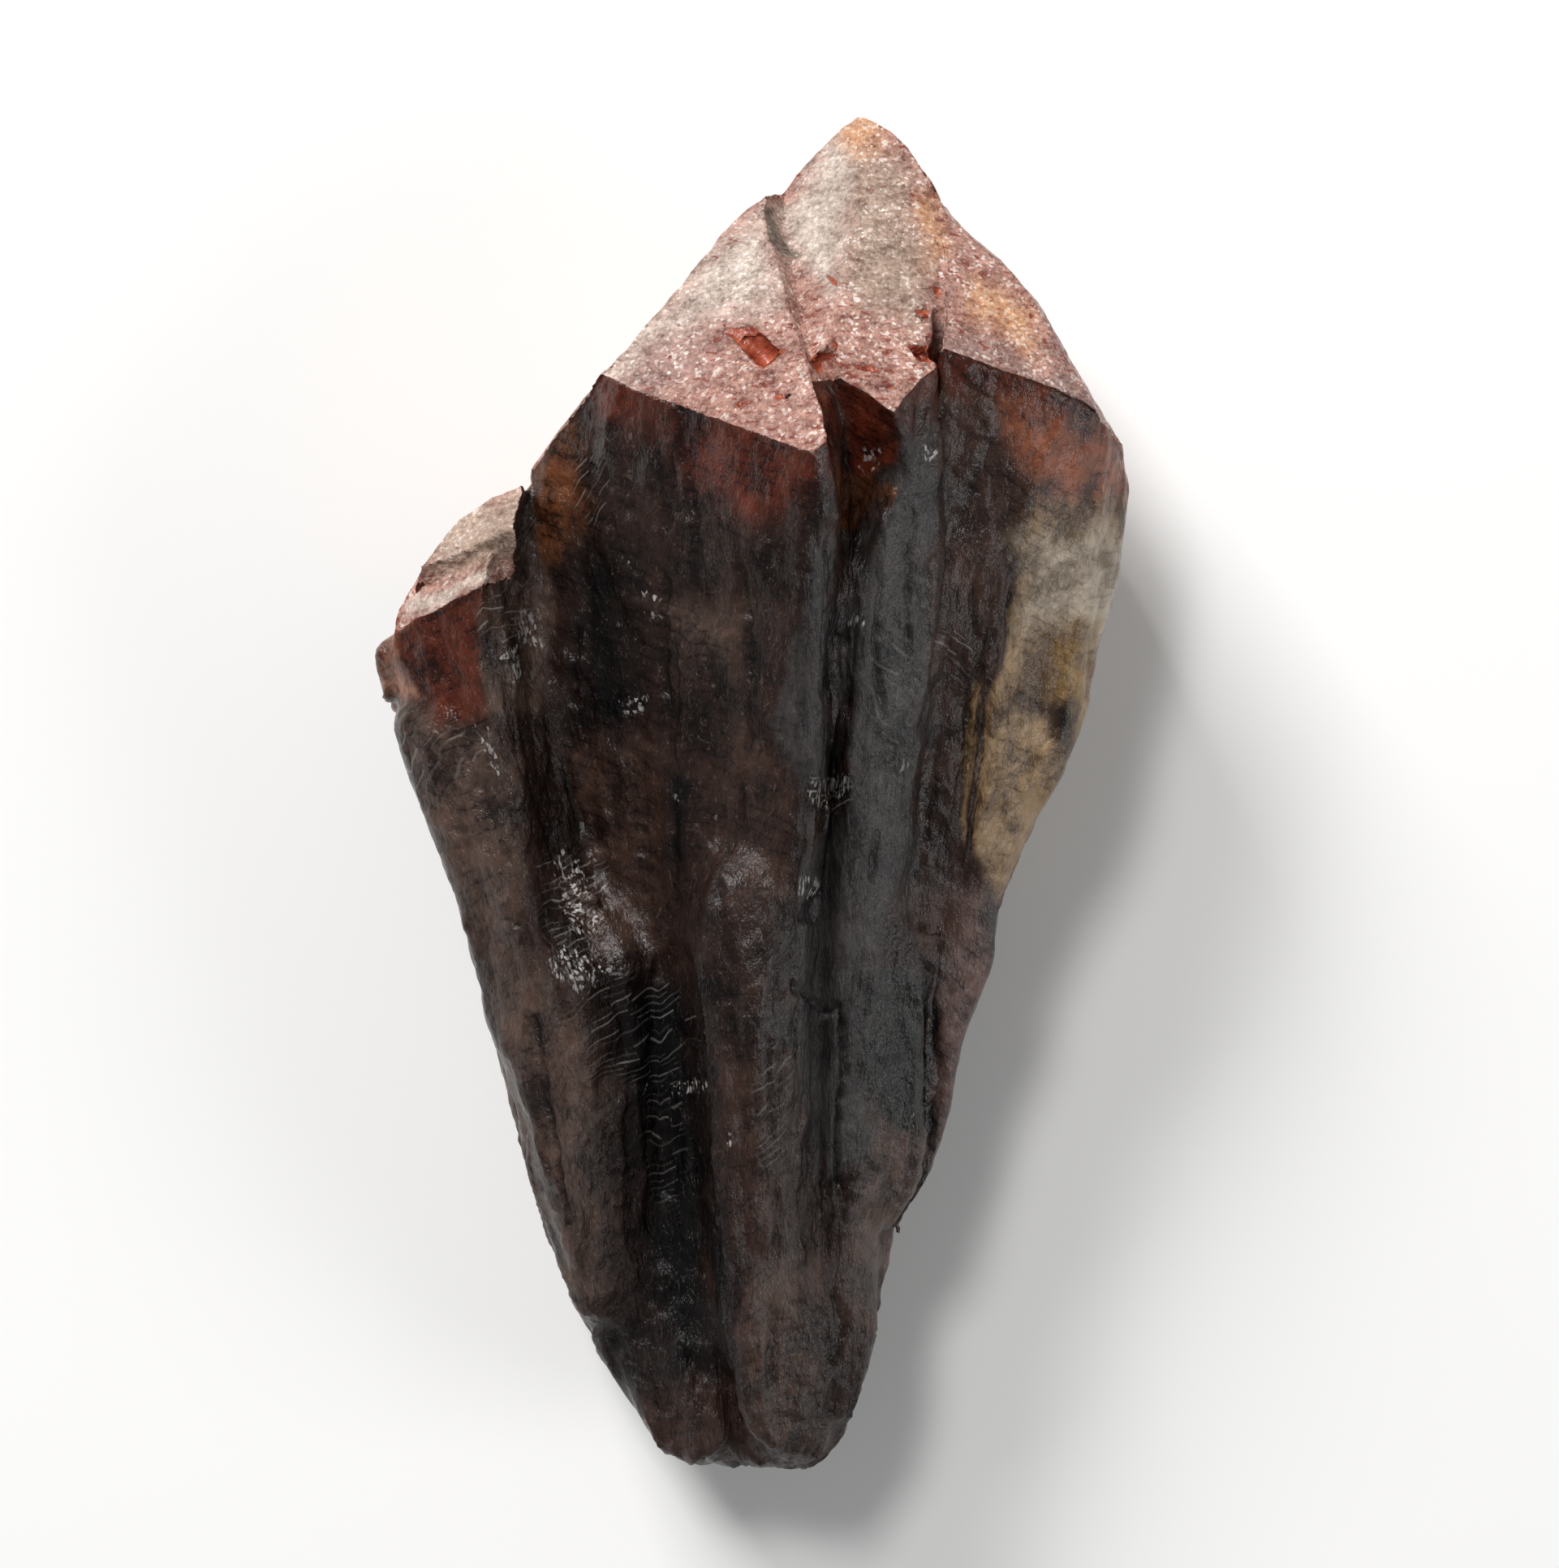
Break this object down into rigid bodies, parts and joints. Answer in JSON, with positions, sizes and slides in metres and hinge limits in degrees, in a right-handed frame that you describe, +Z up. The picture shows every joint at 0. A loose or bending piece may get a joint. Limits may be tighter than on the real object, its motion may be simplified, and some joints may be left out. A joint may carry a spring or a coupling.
{
  "type": "amethyst crystal",
  "caption": "Dark smoky amethyst with a red, glittering cap: pointed parallel teeth grown together, tapering to a blunt root, lying on its flat back.",
  "frame": {"origin": "on the surface that the crystal lies on, under the middle of its length and width", "axes": "+X across the crystal, to the right as pictured; +Y along it, from the root to the tip; +Z up, out of the side that the picture shows"},
  "size_m": [0.0375, 0.0672, 0.0258],
  "materials": {
    "amethyst": "natural quartz: glassy striated flanks, frosted red cap faces"
  },
  "bodies": {
    "root": {"crystal": "amethyst"}
  },
  "joints": []
}
